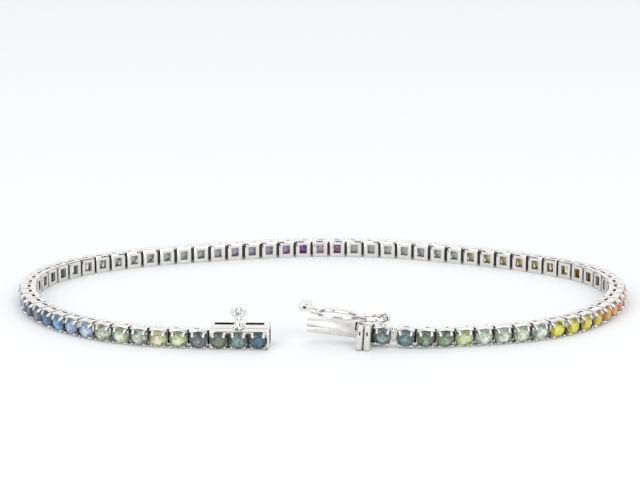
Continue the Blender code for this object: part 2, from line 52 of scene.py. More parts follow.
# Route of the hinges seen from above, as shares of the oval's half length and half width.
# The third column lifts a hinge by a share of what the press plate stands below the links.
ROUTE = [
    (0.166, -0.957, 0.89), (0.229, -0.970, 0.57), (0.291, -0.972, 0.27), (0.355, -0.962, 0.05),
    (0.417, -0.945, 0.00), (0.540, -0.906, 0.00), (0.661, -0.846, 0.00), (0.772, -0.747, 0.00),
    (0.863, -0.605, 0.00), (0.931, -0.429, 0.00), (0.978, -0.237, 0.00), (1.000, -0.032, 0.00),
    (0.984, 0.173, 0.00), (0.928, 0.359, 0.00), (0.841, 0.510, 0.00), (0.682, 0.678, 0.00),
    (0.452, 0.850, 0.00), (0.212, 0.974, 0.00), (-0.040, 0.995, 0.00), (-0.289, 0.925, 0.00),
    (-0.532, 0.814, 0.00), (-0.707, 0.697, 0.00), (-0.863, 0.522, 0.00), (-0.971, 0.268, 0.00),
    (-1.000, -0.038, 0.00), (-0.959, -0.342, 0.00), (-0.865, -0.611, 0.00), (-0.723, -0.816, 0.00),
    (-0.549, -0.936, 0.00), (-0.361, -0.980, 0.00), (-0.172, -0.991, 0.00),
]

# Stone colours by the number of the stone, counted from the tongue round the back to the box.
# Each row: the first stone that has the colour, its name, and its colour.
STONE_ROWS = [
    (1, "teal", "#566E68"), (2, "deep teal", "#486664"), (3, "olive teal", "#5A6A54"),
    (4, "moss", "#5A7054"), (5, "pale moss", "#C4D890"), (6, "mist green", "#B4C8AC"),
    (8, "pale green", "#C4DCB4"), (9, "mint", "#CCE0CC"), (10, "lemon", "#FFE838"),
    (13, "amber", "#FFC030"), (14, "orange", "#FF9A28"), (16, "flame", "#F07018"),
    (17, "tangerine", "#F07A28"), (19, "apricot", "#E08850"), (22, "rust", "#D87038"),
    (23, "cognac", "#C88038"), (24, "gold", "#E8B040"), (26, "honey", "#F0C850"),
    (28, "straw", "#F0E070"), (30, "pale lime", "#E8F088"), (31, "clear", "#F0F0EC"),
    (36, "smoke", "#D8D8D8"), (38, "plum brown", "#886078"), (39, "orchid", "#D0A8D0"),
    (40, "aubergine", "#704088"), (41, "violet", "#9878C0"), (42, "lavender", "#D0C0E0"),
    (45, "clear", "#F0F0F0"), (50, "ice blue", "#D8E4F0"), (52, "clear", "#ECF0F2"),
    (56, "grey blue", "#C8D2DC"), (62, "slate", "#50688C"), (63, "navy", "#182850"),
    (64, "blue slate", "#44687C"), (65, "ink blue", "#346090"), (66, "mid blue", "#5C98D8"),
    (67, "periwinkle", "#98B4EC"), (68, "light blue", "#A8C4EC"), (69, "ash olive", "#C0C8A8"),
    (70, "pale sage", "#B0C498"), (71, "grey sage", "#A8B8A4"), (72, "pale citron", "#DCE4A0"),
    (73, "celery", "#C4D898"), (74, "dark sea", "#4C5C5A"), (75, "forest", "#4A5C48"),
    (76, "sea green", "#587470"), (77, "teal blue", "#24485C"),
]

# Claws: share of the claw's width, lean along the string, lean across it, and upper or lower pair.
# The upper pair leans farther over the stone, as the photo shows.
CLAW_PAIRS = [(1.0, 0.14 * MM, 0.34 * MM, 1), (0.72, 0.10 * MM, 0.06 * MM, -1)]

# Cuts of a round brilliant: how many, their tilt, the first one's turn, and where each plane passes,
# as a share of the stone's radius outwards and whether it lies on the table or the girdle,
# and 1 for the crown or -1 for the pavilion
BRILLIANT_CUTS = [
    ("crown main", 8, 34.5, 0.0, 1.0, "girdle", 1), ("upper girdle", 16, 41.0, 0.5, 0.985, "girdle", 1),
    ("star", 8, 19.0, 0.5, 0.545, "table", 1), ("pavilion main", 8, 40.75, 0.0, 1.0, "girdle", -1),
    ("lower girdle", 16, 42.3, 0.5, 0.985, "girdle", -1),
]

# Painted light and shade on the facets: the range of each facet's random painted tone, how much lighter
# the pavilion's are painted, the painted shade at the rim, what the painted window of light adds, and the
# window's height and reach in shares of the stone's radius
PAINTED_FACET_RANGE, PAINTED_PAVILION_LIGHT = (0.30, 1.65), 2.0
PAINTED_RIM_SHADE, PAINTED_WINDOW_LIGHT, PAINTED_WINDOW_PLACE, PAINTED_WINDOW_REACH = 0.42, 2.20, -0.20, 0.80

# The box's two long grooves: place behind the rim, width and depth
GROOVE_PLACE, GROOVE_WIDE, GROOVE_DEEP = 1.24 * MM, 0.13 * MM, 0.07 * MM
# The gaps between the box's stones: depth behind the rim, and the metal left above them
NOTCH_DEEP, NOTCH_HEAD = 0.34 * MM, 0.22 * MM
# The safety post: place behind the rim, its head's middle below the post's top, and the head's
# dimple below that middle
POST_PLACE, HEAD_DOWN, DIMPLE_DOWN = 1.10 * MM, 0.62 * MM, 0.06 * MM
# The catch notch of the tongue: length, depth behind the tongue's front, and floor above the middle
CATCH_LONG, CATCH_DEEP, CATCH_FLOOR = 0.42 * MM, 0.70 * MM, -0.02 * MM
# The press plate: space to the end link, how far it stands in front of the stones' tables, and the
# ribs' dimples below its top
PLATE_GAP, PLATE_PROUD, PLATE_DIMPLE = 0.16 * MM, 1.25 * MM, 0.95 * MM
# The latch's eye: its wire's radius, its stem's height, and its place behind the rim
EYE_WIRE, EYE_STEM, EYE_PLACE = 0.15 * MM, 0.22 * MM, 0.58 * MM

# The latch's loops in plan, as shares of a loop's length and half width, and the lip's spine
# as shares of the lip's length and height
NEAR_LOOP = [(0, 0.72), (0.08, 0.90), (0.45, 0.98), (0.80, 0.52)]
FAR_LOOP = [(0.10, 0.42), (0.28, 0.86), (0.50, 1.0), (0.72, 0.98), (0.91, 0.66)]
LIP_SPINE = [(0.0, 0.0), (0.20, 0.04), (0.37, 0.14), (0.52, 0.33)]

# Boards of the room: the direction of each one's middle, the cosines at its soft edge, and its
# light as a share of the sky's. Three are dark, and the last is the bright backdrop.
BOARDS = [((0.0, -0.971, 0.239), 0.94, 0.985, 0.05), ((-0.95, -0.30, 0.10), 0.82, 0.93, 0.06),
          ((0.95, -0.30, 0.10), 0.82, 0.93, 0.06), ((0.0, 0.97, 0.24), 0.50, 0.85, 1.50)]
# Soft lamps: name, place in metres, size in metres, and share of the lamps' power
LAMPS = [("overhead", (0.0, 0.05, 0.60), 0.60, 0.20), ("front_left", (-0.42, -0.68, 0.28), 0.60, 1.0),
         ("front_right", (0.42, -0.68, 0.28), 0.60, 1.0)]
# Width of the floor in metres
FLOOR_WIDE = 4.0

# A colour Mix node's sockets have names that repeat, so they are taken by number
COLOUR_A, COLOUR_B, COLOUR_OUT = 6, 7, 2


def srgb(code):
    """A colour from its hex value, turned to linear light."""
    out = []
    for k in (1, 3, 5):
        share = int(code[k:k + 2], 16) / 255
        out.append(share / 12.92 if share <= 0.04045 else ((share + 0.055) / 1.055) ** 2.4)
    return tuple(out)


def length(name, description, millimetres):
    """A length that a user may change, given in millimetres."""
    return bpy.props.FloatProperty(name=name, description=description, default=millimetres * MM,
                                   unit="LENGTH", precision=5)


def count(name, description, number):
    """A number of like pieces."""
    return bpy.props.IntProperty(name=name, description=description, default=number, min=1)


def colour(name, description, code):
    """A colour that a user may change, given by its hex value."""
    return bpy.props.FloatVectorProperty(name=name, description=description, default=srgb(code),
                                         subtype="COLOR", size=3, min=0, max=1)


class LinkSizes(bpy.types.PropertyGroup):
    """The links, their stones, and the oval that the string follows"""

    stone: length("Stone", "Width of a round stone", 2.07)
    long: length("Link length", "Length of one setting along the string", 2.04)
    high: length("Link height", "Height of one setting", 2.12)
    gap: length("Link gap", "Space between two settings", 0.24)
    deep: length("Basket depth", "Depth of the square basket", 1.75)
    back: length("Back", "The basket's back, behind the string's middle", 1.05)
    taper: length("Taper", "How much the basket narrows at each end towards its back", 0.09)
    claw: length("Claw width", "Width of a claw at its foot", 0.50)
    crown: length("Crown", "Height of the stone's crown", 0.32)
    oval_long: length("Loop length", "Length of the oval of hinges", 72.22)
    oval_wide: length("Loop width", "Width of the oval of hinges", 43.86)
    right: count("Right links", "Links in the right line", 36)
    left: count("Left links", "Links in the left line", 37)
    box: count("Box stones", "Stones on the clasp box", 3)


class ClaspSizes(bpy.types.PropertyGroup):
    """The clasp box, the tongue with its press plate, and the latch"""

    box_deep: length("Box depth", "Depth of the clasp box from its claw tips to its back", 4.30)
    wall: length("Box wall", "Thickness of the box's walls", 0.16)
    post_high: length("Post height", "Height of the safety post", 2.62)
    post_wide: length("Post width", "Width of the post's foot", 1.64)
    tongue: length("Tongue", "Length of the spring tongue", 6.06)
    plate: length("Press plate", "Length of the press plate along the string", 1.69)
    below: length("Plate below", "How far the press plate stands below the links", 0.44)
    above: length("Plate above", "How far the press plate stands above the links", 0.40)
    shift: length("End shift", "How far the end link stands off the string", 0.31)
    eye: length("Eye", "Radius of the latch's eye", 0.58)
    wire: length("Wire", "Radius of the latch's wire", 0.22)


class MetalColours(bpy.types.PropertyGroup):
    """Two finishes of the white gold, and the dark colour of the painted shade in its recesses"""

    bright: colour("Polished white gold", "Colour of the polished metal", "#E6E4E1")
    satin: colour("Satin white gold", "Colour of the spring tongue", "#E4E2DE")
    # The recesses' colour is painted shade: dark pieces stand where shade falls
    shade: colour("Recesses", "Colour of the metal in the recesses", "#454442")


class StageValues(bpy.types.PropertyGroup):
    """The floor, the light and the camera"""

    floor: colour("Floor", "Colour of the floor", "#F5F7F8")
    sky: colour("Sky", "Colour of the soft light all round", "#FCFCFE")
    lens: bpy.props.FloatProperty(name="Lens", description="Focal length of the camera in millimetres",
                                  default=144.25, min=1)
    tilt: bpy.props.FloatProperty(name="Tilt", description="Angle of the camera below the horizon",
                                  default=math.radians(13.803), subtype="ANGLE")
    eye: bpy.props.FloatVectorProperty(name="Eye", description="Place of the camera",
                                       default=(-0.000294, -0.303444, 0.08196), subtype="TRANSLATION")
    sky_power: bpy.props.FloatProperty(name="Sky power", description="Strength of the light all round",
                                       default=0.76, min=0)
    lamp_power: bpy.props.FloatProperty(name="Lamp power", description="Power of a front lamp in watts",
                                        default=3.0, min=0)


class Plan:
    """The places, in metres, that follow from the panel's sizes and that the pieces share."""

    def __init__(self, scene):
        link, clasp = scene.bracelet_link, scene.bracelet_clasp
        girdle_sink, claw_rise, lug_front = 0.04 * MM, 0.08 * MM, 0.50 * MM
        self.link, self.clasp = link, clasp
        self.pitch = link.long + link.gap
        self.half, self.top = link.long / 2, link.high / 2
        self.back = link.back
        self.rim = link.back - link.deep
        self.girdle = self.rim + girdle_sink
        self.table = self.girdle - link.crown
        self.claw_tip = self.table - claw_rise
        self.lug = self.back - lug_front
        self.stones = 1 + link.right + link.left + link.box
        hinges = self.hinges()
        self.seats = [self.seat(a, b) for a, b in zip(hinges, hinges[1:])]
        middle = self.seat(hinges[-1 - link.box], hinges[-1])
        self.box = middle @ Matrix.Translation((-link.box * self.pitch / 2, 0, 0))
        for n in range(link.box):
            self.seats[n - link.box] = self.box @ Matrix.Translation(((n + 0.5) * self.pitch, 0, 0))
        self.seats[0] = self.seats[0] @ Matrix.Translation((-clasp.shift, 0, 0))
        self.to_frame(hinges)

    def line(self):
        """A dense smooth line through the route's points, as a centripetal curve."""
        link, steps = self.link, 40
        pts = [Vector((x * link.oval_long / 2, y * link.oval_wide / 2, lift * self.clasp.below))
               for x, y, lift in ROUTE]
        pts = [2 * pts[0] - pts[1]] + pts + [2 * pts[-1] - pts[-2]]
        out = []
        for a, b, c, d in zip(pts, pts[1:], pts[2:], pts[3:]):
            t0, t1 = 0.0, (b - a).length ** 0.5
            t2 = t1 + (c - b).length ** 0.5
            t3 = t2 + (d - c).length ** 0.5
            for k in range(steps):
                t = t1 + (t2 - t1) * k / steps
                ab = a * ((t1 - t) / (t1 - t0)) + b * ((t - t0) / (t1 - t0))
                bc = b * ((t2 - t) / (t2 - t1)) + c * ((t - t1) / (t2 - t1))
                cd = c * ((t3 - t) / (t3 - t2)) + d * ((t - t2) / (t3 - t2))
                abc = ab * ((t2 - t) / (t2 - t0)) + bc * ((t - t0) / (t2 - t0))
                bcd = bc * ((t3 - t) / (t3 - t1)) + cd * ((t - t1) / (t3 - t1))
                out.append(abc * ((t2 - t) / (t2 - t1)) + bcd * ((t - t1) / (t2 - t1)))
        out.append(pts[-2])
        out.append(pts[-2] + (pts[-2] - out[-2]).normalized() * self.pitch * len(ROUTE))
        return out

    def hinges(self):
        """Hinge points one pitch apart along the route."""
        line, halvings = self.line(), 50
        out = [line[0]]
        k = 0
        while len(out) <= self.stones:
            here = out[-1]
            while (line[k + 1] - here).length < self.pitch:
                k += 1
            a, step = line[k], line[k + 1] - line[k]
            low, high = 0.0, 1.0
            for _ in range(halvings):
                mid = (low + high) / 2
                if (a + step * mid - here).length < self.pitch:
                    low = mid
                else:
                    high = mid
            out.append(a + step * high)
        return out

    def seat(self, a, b):
        """The place of a link between two hinges: X along the string, Z up, stones towards -Y."""
        x = (b - a).normalized()
        y = Vector((0, 0, 1)).cross(x).normalized()
        z = x.cross(y)
        place = Matrix((x, y, z)).transposed().to_4x4()
        place.translation = (a + b) / 2 + z * self.top
        return place

    def to_frame(self, hinges):
        """Every place moved so that the box's middle stone has its point where the frame's has."""
        corners = [v.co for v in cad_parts["box_stone_2"].data.vertices]
        point = max(corners, key=lambda co: co.y)
        shift = Matrix.Translation(point - self.seats[-2] @ Vector((0, self.girdle + CAD_PAVILION, 0)))
        self.seats = [shift @ seat for seat in self.seats]
        self.box = shift @ self.box
        self.hinge_points = [shift @ hinge for hinge in hinges]


def alone(piece):
    """Selects one piece and makes it the active one."""
    bpy.ops.object.select_all(action="DESELECT")
    piece.select_set(True)
    bpy.context.view_layer.objects.active = piece


def primitive(name, add, **values):
    """A primitive on its own, at its size and place, with its object at the origin."""
    bpy.ops.object.select_all(action="DESELECT")
    add(**values)
    piece = bpy.context.active_object
    piece.name = name
    bpy.ops.object.transform_apply(location=True, rotation=True, scale=True)
    return piece


def block(name, x, y, z):
    """A box between pairs of limits."""
    return primitive(name, bpy.ops.mesh.primitive_cube_add, size=1,
                     location=[(a + b) / 2 for a, b in (x, y, z)],
                     scale=[b - a for a, b in (x, y, z)])


def rod(name, centre, radius, long, axis, sides=24, end=None):
    """A round rod or cone along an axis of the piece."""
    turn = {"X": (0, math.pi / 2, 0), "Y": (-math.pi / 2, 0, 0), "Z": (0, 0, 0)}[axis]
    return primitive(name, bpy.ops.mesh.primitive_cone_add, vertices=sides, radius1=radius,
                     radius2=radius if end is None else end, depth=long, location=centre, rotation=turn)


def ball(name, centre, radius, sides=16, squash=(1, 1, 1)):
    """A round ball, or one squashed along the axes."""
    return primitive(name, bpy.ops.mesh.primitive_uv_sphere_add, segments=sides, ring_count=sides // 2,
                     radius=radius, location=centre, scale=squash)


def ring(name, centre, radius, wire, sides=28):
    """A round ring of wire that faces along Y."""
    return primitive(name, bpy.ops.mesh.primitive_torus_add, major_radius=radius, minor_radius=wire,
                     major_segments=sides, minor_segments=12, location=centre,
                     rotation=(math.pi / 2, 0, 0))


def pick(piece, test):
    """Edit mode on one piece, with only the faces that pass the test selected."""
    alone(piece)
    bpy.ops.object.mode_set(mode="EDIT")
    bpy.ops.mesh.select_mode(type="FACE")
    bpy.ops.mesh.select_all(action="DESELECT")
    bpy.ops.object.mode_set(mode="OBJECT")
    for face in piece.data.polygons:
        face.select = test(face)
    bpy.ops.object.mode_set(mode="EDIT")


def done():
    """Leaves edit mode."""
    bpy.ops.object.mode_set(mode="OBJECT")


def facing(x=0, y=0, z=0):
    """A test for the faces that look straight along a direction."""
    aim, near = Vector((x, y, z)), 0.99
    return lambda face: face.normal.dot(aim) > near


def finished(piece, kind, **settings):
    """Adds one modifier with its settings and applies it."""
    alone(piece)
    modifier = piece.modifiers.new(kind.lower(), kind)
    for key, value in settings.items():
        setattr(modifier, key, value)
    bpy.ops.object.modifier_apply(modifier=modifier.name)
    return piece


def cut(piece, *tools):
    """Takes each tool's shape out of the piece."""
    for tool in tools:
        finished(piece, "BOOLEAN", object=tool, operation="DIFFERENCE", solver="EXACT")
        bpy.data.objects.remove(tool)
    return piece


def rounded(piece, width, segments=2, angle=40):
    """Softens the piece's sharp edges, as polishing does."""
    return finished(piece, "BEVEL", width=width, segments=segments, limit_method="ANGLE",
                    angle_limit=math.radians(angle), harden_normals=False)


def joined(name, pieces):
    """Several pieces as one mesh, under the first one's name."""
    bpy.ops.object.select_all(action="DESELECT")
    for piece in pieces:
        piece.select_set(True)
    bpy.context.view_layer.objects.active = pieces[0]
    bpy.ops.object.join()
    piece = bpy.context.active_object
    piece.name = piece.data.name = name
    return piece


def smooth(piece, angle=35):
    """Shades the piece smooth, apart from edges that are sharper than the angle."""
    alone(piece)
    bpy.ops.object.shade_smooth_by_angle(angle=math.radians(angle))
    return piece


def copied(master, place, name="copy"):
    """A copy with its own mesh, moved to its place."""
    copy = master.copy()
    copy.data = master.data.copy()
    copy.name = name
    copy.data.transform(place)
    bpy.context.scene.collection.objects.link(copy)
    return copy


def wire(name, points, radius, closed=False, sides=12, steps=6):
    """A round wire through points, as a mesh with so many sides."""
    curve = bpy.data.curves.new(name, "CURVE")
    curve.dimensions = "3D"
    curve.bevel_depth = radius
    curve.bevel_resolution = sides // 2 - 2
    curve.resolution_u = steps
    curve.use_fill_caps = not closed
    line = curve.splines.new("BEZIER")
    line.bezier_points.add(len(points) - 1)
    line.use_cyclic_u = closed
    for knot, point in zip(line.bezier_points, points):
        knot.co = point
        knot.handle_left_type = knot.handle_right_type = "AUTO"
    piece = bpy.data.objects.new(name, curve)
    bpy.context.scene.collection.objects.link(piece)
    alone(piece)
    bpy.ops.object.convert(target="MESH")
    return tidied(bpy.context.active_object)


def tidied(piece):
    """Merges doubles and turns every face outwards."""
    double = 0.0005 * MM
    pick(piece, lambda face: True)
    bpy.ops.mesh.remove_doubles(threshold=double)
    bpy.ops.mesh.normals_make_consistent(inside=False)
    done()
    return piece


def link_setting(plan):
    """One setting: a square basket, hollow behind its stone, with slots and four claws."""
    link, half, top = plan.link, plan.half, plan.top
    wall, floor, polish = 0.17 * MM, 0.30 * MM, 0.035 * MM
    slot_half, slot_down, slot_deep = 0.55 * MM, 0.84 * MM, 0.36 * MM
    window_half, window_top = 0.48 * MM, 0.57 * MM
    side_deep, side_foot, side_head = 0.46 * MM, 0.18 * MM, 0.22 * MM
    basket = block("basket", (-half, half), (plan.rim, plan.back), (-top, top))
    pick(basket, facing(y=1))
    bpy.ops.transform.resize(value=(1 - link.taper / half, 1, 1), center_override=(0, plan.back, 0))
    done()
    pick(basket, facing(y=-1))
    bpy.ops.mesh.inset(thickness=wall)
    inward = Vector((0, link.deep - floor, 0))
    bpy.ops.mesh.extrude_region_move(TRANSFORM_OT_translate={"value": inward})
    done()
    slot_y = plan.rim + slot_down
    slot = block("slot", (-slot_half, slot_half), (slot_y, slot_y + slot_deep), (-link.high, link.high))
    window = block("window", (-window_half, window_half), (0, link.deep), (-window_top, window_top))
    side = block("side", (-link.long, link.long), (plan.rim - wall, plan.rim + side_deep),
                 (side_foot - top, top - side_head))
    cut(basket, slot, window, side)
    rounded(basket, polish)
    return smooth(joined("setting", [basket, claws(plan)]))


def claws(plan):
    """Four claws at the corners that rise past the stone and lean in over its edge."""
    inset, root, narrowed, polish = 0.02 * MM, 0.30 * MM, 0.58, 0.10 * MM
    made = []
    for share, lean_x, lean_z, side in CLAW_PAIRS:
        wide = share * plan.link.claw
        x = (plan.half - inset - wide, plan.half - inset)
        z = sorted((side * (plan.top - inset - wide), side * (plan.top - inset)))
        claw = block("claw", x, (plan.claw_tip, plan.rim + root), z)
        pick(claw, facing(y=-1))
        middle = (sum(x) / 2, plan.claw_tip, sum(z) / 2)
        bpy.ops.transform.resize(value=(narrowed, 1, narrowed), center_override=middle)
        bpy.ops.transform.translate(value=(-lean_x, 0, -side * lean_z))
        done()
        rounded(claw, polish, segments=3, angle=20)
        made.append(claw)
    return finished(joined("claws", made), "MIRROR", use_axis=(True, False, False),
                    use_mirror_merge=False)


def brilliant(plan):
    """A round brilliant, cut facet by facet from a drum, with its table towards -Y.

    The flat table is split, so that each piece can take its own painted tone, standing for the facet seen
    through it.
    """
    radius, high = plan.link.stone / 2, plan.link.crown
    edge, sides, table_rim, weld = 0.02 * MM, 48, 0.22 * MM, 1e-9
    stone = rod("brilliant", (0, 0, (high - radius) / 2), radius, high + radius, "Z", sides)
    pick(stone, lambda face: True)
    for _, number, tilt, first, share, level, side in BRILLIANT_CUTS:
        for k in range(number):
            turn = math.tau * (k + first) / number
            lean = math.radians(tilt)
            outward = Vector((math.cos(turn), math.sin(turn), 0))
            normal = outward * math.sin(lean) + Vector((0, 0, side * math.cos(lean)))
            height = high if level == "table" else side * edge
            bpy.ops.mesh.select_all(action="SELECT")
            bpy.ops.mesh.bisect(plane_co=outward * radius * share + Vector((0, 0, height)),
                                plane_no=normal, use_fill=True, clear_outer=True, threshold=weld)
    done()
    pick(stone, facing(z=1))
    bpy.ops.mesh.inset(thickness=table_rim)
    bpy.ops.mesh.poke()
    done()
    stone.data.transform(Matrix.Translation((0, plan.girdle, 0)) @ Matrix.Rotation(math.pi / 2, 4, "X"))
    return tidied(stone)


def lug(plan):
    """The hinge between two settings: a flat lug with a pin through it."""
    overlap, half_thick, half_high, polish = 0.10 * MM, 0.13 * MM, 0.78 * MM, 0.05 * MM
    pin_radius, pin_long, pin_polish = 0.15 * MM, 1.64 * MM, 0.04 * MM
    reach = plan.link.gap / 2 + plan.link.taper + overlap
    plate = block("lug", (-reach, reach), (plan.lug - half_thick, plan.lug + half_thick),
                  (-half_high, half_high))
    rounded(plate, polish)
    pin = rod("pin", (0, plan.lug, 0), pin_radius, pin_long, "Z", sides=12)
    rounded(pin, pin_polish)
    return smooth(joined("hinge", [plate, pin]))


def strung(name, master, places):
    """Copies of a master at many places, as one mesh."""
    return joined(name, [copied(master, place) for place in places])


def stone_colour(number):
    """The colour of a stone, by its number in the string."""
    return srgb([row for row in STONE_ROWS if row[0] <= number][-1][2])


def painted_facet_lights(plan, master, number):
    """Painted light and shade at each facet's corners: painted shade at the rim, a painted pool of light
    low in the middle, and a random painted tone for each facet.

    The pavilion's facets, which show from the back through the setting, are painted lighter.
    """
    chance = random.Random(number)
    radius = plan.link.stone / 2
    out = []
    for face in master.data.polygons:
        # Painted light: each facet's random tone, lighter on the pavilion, times painted shade at the rim
        # and a painted pool of light in the middle
        facet = chance.uniform(*PAINTED_FACET_RANGE)
        if face.center.y > plan.girdle:
            facet *= PAINTED_PAVILION_LIGHT
        for k in face.vertices:
            x, _, z = master.data.vertices[k].co
            away = math.hypot(x, z - PAINTED_WINDOW_PLACE * radius) / (PAINTED_WINDOW_REACH * radius)
            out.append(facet * (PAINTED_RIM_SHADE + PAINTED_WINDOW_LIGHT * max(0.0, 1.0 - away)))
    return out


def seated_stones(name, plan, master, numbers):
    """Stones in their seats, each facet's corners with the stone's colour times painted light and shade,
    as an attribute.
    """
    copies = []
    for number in numbers:
        stone = copied(master, plan.seats[number - 1], "stone")
        shade = stone.data.color_attributes.new("stone_colour", "FLOAT_COLOR", "CORNER")
        tones = []
        own = stone_colour(number)
        # The stone_colour attribute holds the stone's own colour times the painted light and shade of its
        # facets
        for light in painted_facet_lights(plan, master, number):
            tones += [*(min(1.0, share * light) for share in own), 1.0]
        shade.data.foreach_set("color", tones)
        copies.append(stone)
    return joined(name, copies)


def clasp_box(plan):
    """The hollow box: housing, gallery of seats, slots on top, end plate with its mouth."""
    link, clasp = plan.link, plan.clasp
    back, top, wall = plan.claw_tip + clasp.box_deep, plan.top, clasp.wall
    plate_thick, plate_proud, plate_overlap = 0.20 * MM, 0.03 * MM, 0.05 * MM
    box_polish, plate_polish = 0.07 * MM, 0.05 * MM
    gallery, partition = 1.22 * MM, 0.70 * MM
    notch_half = 0.28 * MM
    seat_radius, seat_foot, seat_deep, seat_middle = 1.03 * MM, 0.16 * MM, 0.92 * MM, 0.42 * MM
    slot_deep, slot_clear = 0.90 * MM, 0.02 * MM
    # Starts and ends of the two slots, from the box's left end and from its right end
    left_slot, right_slot = (0.40 * MM, 2.72 * MM), (2.62 * MM, 0.50 * MM)
    start, end = link.gap / 2, link.box * plan.pitch - link.gap / 2
    slot_x = ([start + x for x in left_slot], [end - x for x in right_slot])
    body = block("box", (start, end + plate_overlap), (plan.rim, back), (-top, top))
    rounded(body, box_polish, segments=3)
    housing_y = (plan.rim + gallery, back - wall)
    housing = block("housing", (start + partition, end + link.gap), housing_y, (wall - top, top - wall))
    groove_y = plan.rim + GROOVE_PLACE
    grooves = [block("groove", (0, end + link.gap), (groove_y, groove_y + GROOVE_WIDE),
                     sorted((side * (top - GROOVE_DEEP), side * link.high))) for side in (-1, 1)]
    notches = [block("notch", (n * plan.pitch - notch_half, n * plan.pitch + notch_half),
                     (plan.rim - wall, plan.rim + NOTCH_DEEP), (wall - top, top - NOTCH_HEAD))
               for n in range(1, link.box)]
    seats = [rod("seat", ((n + 0.5) * plan.pitch, plan.girdle + seat_middle, 0), seat_radius, seat_deep,
                 "Y", sides=24, end=seat_foot) for n in range(link.box)]
    slot_y = (housing_y[1] - slot_deep, housing_y[1] - slot_clear)
    slots = [block("slot", x, slot_y, (0, link.high)) for x in slot_x]
    cut(body, housing, *grooves, *notches, *seats, *slots)
    plate = block("end_plate", (end, end + plate_thick), (plan.table, back + plate_proud),
                  (-top, top + plate_proud))
    rounded(plate, plate_polish)
    cut(plate, block("mouth", (0, 2 * end), housing_y, (wall - top, top - wall)))
    prongs = claws(plan)
    sets = [copied(prongs, Matrix.Translation(((n + 0.5) * plan.pitch, 0, 0))) for n in range(link.box)]
    bpy.data.objects.remove(prongs)
    return smooth(joined("box", [body, plate, *sets]))


def box_painted_shade(plan):
    """Painted shade: dark pieces between the box's stones, in its two long grooves and in the post's
    dimple.
    """
    link, top = plan.link, plan.top
    play, half_wide, front, thick = 0.01 * MM, 0.15 * MM, 0.06 * MM, 0.04 * MM
    groove_start, dimple_radius, dimple_front = 0.04 * MM, 0.10 * MM, 0.42 * MM
    made = []
    for n in range(1, link.box):
        made.append(block("painted_shade_block", (n * plan.pitch - half_wide, n * plan.pitch + half_wide),
                          (plan.rim + NOTCH_DEEP - front, plan.rim + NOTCH_DEEP + 2 * play),
                          (plan.clasp.wall + play - top, top - NOTCH_HEAD - play)))
    groove_y, end = plan.rim + GROOVE_PLACE, link.box * plan.pitch - link.gap / 2
    floor = top - GROOVE_DEEP - play
    for side in (-1, 1):
        made.append(block("painted_shade_block", (link.gap / 2 + groove_start, end),
                          (groove_y + play, groove_y + GROOVE_WIDE - play),
                          sorted((side * floor, side * (floor + thick)))))
    dimple = (link.box * plan.pitch / 2, plan.rim + POST_PLACE - dimple_front,
              top + plan.clasp.post_high - HEAD_DOWN - DIMPLE_DOWN)
    made.append(ball("painted_shade_block", dimple, dimple_radius, sides=12))
    return joined("box_painted_shade", made)


def safety_post(plan):
    """The post that the latch snaps over: flared foot, twisted neck, and a lobed head."""
    foot, high = plan.clasp.post_wide / 2, plan.clasp.post_high
    core_radius, core_high, strand_radius = 0.22 * MM, high * 0.80, 0.14 * MM
    strands_each_way, knots, twist = 5, 8, 0.40
    neck_radius, foot_inset, neck_low, neck_rise, flatness = 0.24 * MM, 0.40 * MM, 0.02, 0.76, 0.62
    head_radius, head_front, head_sink = 0.30 * MM, 0.24 * MM, 0.10 * MM
    dimple_radius, dimple_deep, dimple_middle = 0.11 * MM, 0.30 * MM, 0.56 * MM
    lobe_radius, lobe_wire, lobe_place = 0.42 * MM, 0.18 * MM, 0.27 * MM
    collar_radius, collar_back, collar_squash = 0.40 * MM, 0.05 * MM, (1, 0.5, 1)
    core = rod("core", (0, 0, core_high / 2), core_radius, core_high, "Z", sides=24)
    strands = []
    for sense in (-1, 1):
        for n in range(strands_each_way):
            path = []
            for k in range(knots + 1):
                turn = math.tau * (n / strands_each_way + sense * twist * k / knots)
                out = neck_radius + (foot - foot_inset) * (1 - k / knots) ** 3
                path.append((out * math.cos(turn), out * math.sin(turn),
                             high * (neck_low + neck_rise * k / knots)))
            strands.append(wire("strand", path, strand_radius, sides=10, steps=4))
    neck = joined("neck", [core, *strands])
    neck.data.transform(Matrix.Diagonal((1, flatness, 1, 1)))
    head = high - HEAD_DOWN
    middle = ball("head", (0, -head_front, head - head_sink), head_radius, sides=24)
    cut(middle, rod("dimple", (0, -dimple_middle, head - DIMPLE_DOWN), dimple_radius, dimple_deep,
                    "Y", sides=16))
    lobes = [ring("lobe", (side * lobe_place, 0, head), lobe_radius, lobe_wire) for side in (-1, 1)]
    collar = ball("collar", (0, collar_back, head - collar_back), collar_radius, sides=20,
                  squash=collar_squash)
    post = joined("post", [neck, middle, collar, *lobes])
    place = (plan.link.box * plan.pitch / 2, plan.rim + POST_PLACE, plan.top)
    post.data.transform(Matrix.Translation(place))
    return smooth(post, angle=50)


def tongue_depth(plan):
    """Front and back of the tongue, clear of the housing's walls."""
    front_clear, back_clear = 1.32 * MM, 1.20 * MM
    return plan.rim + front_clear, plan.claw_tip + plan.clasp.box_deep - plan.clasp.wall - back_clear


def plate_sides(plan):
    """Left and right side of the press plate, its front, and its foot and top."""
    right, front = -plan.half - PLATE_GAP, plan.table - PLATE_PROUD
    low, high = -plan.top - plan.clasp.below, plan.top + plan.clasp.above
    return right - plan.clasp.plate, right, front, low, high


